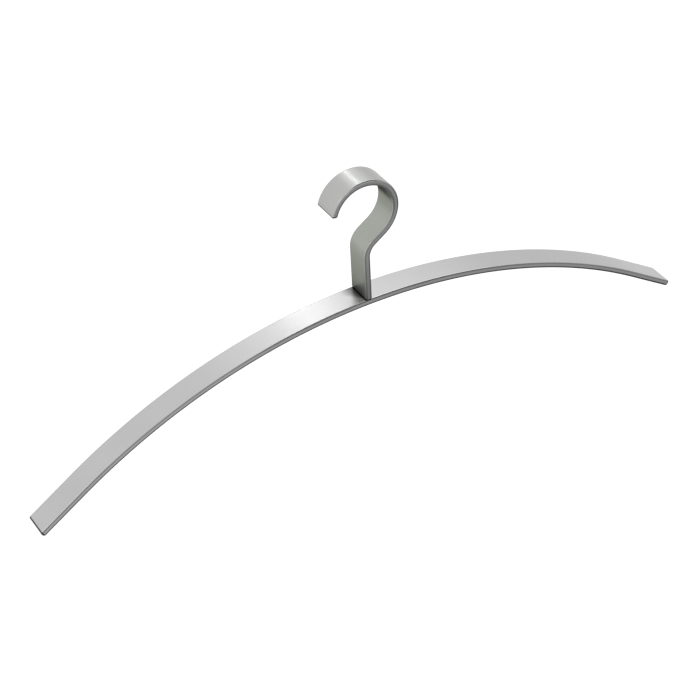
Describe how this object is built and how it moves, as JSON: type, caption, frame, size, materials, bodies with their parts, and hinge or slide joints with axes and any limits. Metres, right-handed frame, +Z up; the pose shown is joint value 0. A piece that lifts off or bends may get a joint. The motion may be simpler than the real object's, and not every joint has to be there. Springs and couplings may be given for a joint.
{
  "type": "coat hanger",
  "caption": "Arched coat hanger in flat satin aluminium bar, with a question-mark hook of the same bar standing on its crown and screwed on from below.",
  "frame": {"origin": "on the axis of the rail that the hook hangs from, in the middle of the bar's width", "axes": "+X along the arm, away from the hook's open side; +Y across the bar, along the rail; +Z up as it hangs"},
  "size_m": [0.46, 0.018, 0.1671],
  "materials": {
    "arm_aluminium": "satin natural anodised",
    "hook_aluminium": "satin natural anodised",
    "screw_steel": "plain turned stainless steel"
  },
  "bodies": {
    "root": {"arm_bar": "arm_aluminium", "hook": "hook_aluminium", "foot_screws": "screw_steel"}
  },
  "joints": []
}
